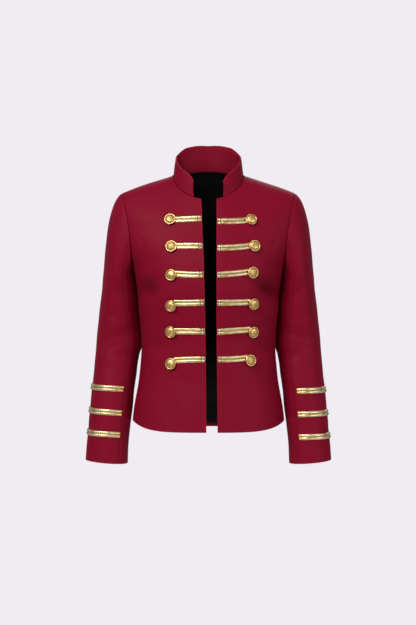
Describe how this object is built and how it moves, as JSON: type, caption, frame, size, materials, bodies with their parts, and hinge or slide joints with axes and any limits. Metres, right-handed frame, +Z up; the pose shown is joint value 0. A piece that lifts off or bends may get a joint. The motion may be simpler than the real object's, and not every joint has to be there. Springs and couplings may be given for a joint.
{
  "type": "military parade jacket",
  "caption": "Short fitted parade jacket with stand collar, open front with braided button bars, two-piece sleeves with braided cuffs and a lined back.",
  "frame": {"origin": "middle of the neck base, level with the two points where the neckline meets the shoulder seams", "axes": "+Z up; the front faces -Y; +X is the wearer's left"},
  "size_m": [0.5524, 0.2497, 0.7194],
  "materials": {
    "crimson_cloth": "smooth crimson twill with a soft satin sheen",
    "black_lining": "black satin lining",
    "gold_braid": "gold metallic flat braid with two ridges",
    "gold_button": "polished gold-coloured domed metal"
  },
  "bodies": {
    "root": {"front_left": "crimson_cloth", "front_right": "crimson_cloth", "back": "crimson_cloth", "collar": "crimson_cloth", "sleeve_left_top": "crimson_cloth", "sleeve_left_under": "crimson_cloth", "sleeve_right_top": "crimson_cloth", "sleeve_right_under": "crimson_cloth", "lining_back": "black_lining", "braid_left_1": "gold_braid", "braid_left_2": "gold_braid", "braid_left_3": "gold_braid", "braid_left_4": "gold_braid", "braid_left_5": "gold_braid", "braid_left_6": "gold_braid", "braid_right_1": "gold_braid", "braid_right_2": "gold_braid", "braid_right_3": "gold_braid", "braid_right_4": "gold_braid", "braid_right_5": "gold_braid", "braid_right_6": "gold_braid", "cuff_braid_left_1": "gold_braid", "cuff_braid_left_2": "gold_braid", "cuff_braid_left_3": "gold_braid", "cuff_braid_right_1": "gold_braid", "cuff_braid_right_2": "gold_braid", "cuff_braid_right_3": "gold_braid", "button_left_1": "gold_button", "button_left_2": "gold_button", "button_left_3": "gold_button", "button_left_4": "gold_button", "button_left_5": "gold_button", "button_left_6": "gold_button", "button_right_1": "gold_button", "button_right_2": "gold_button", "button_right_3": "gold_button", "button_right_4": "gold_button", "button_right_5": "gold_button", "button_right_6": "gold_button"}
  },
  "joints": []
}
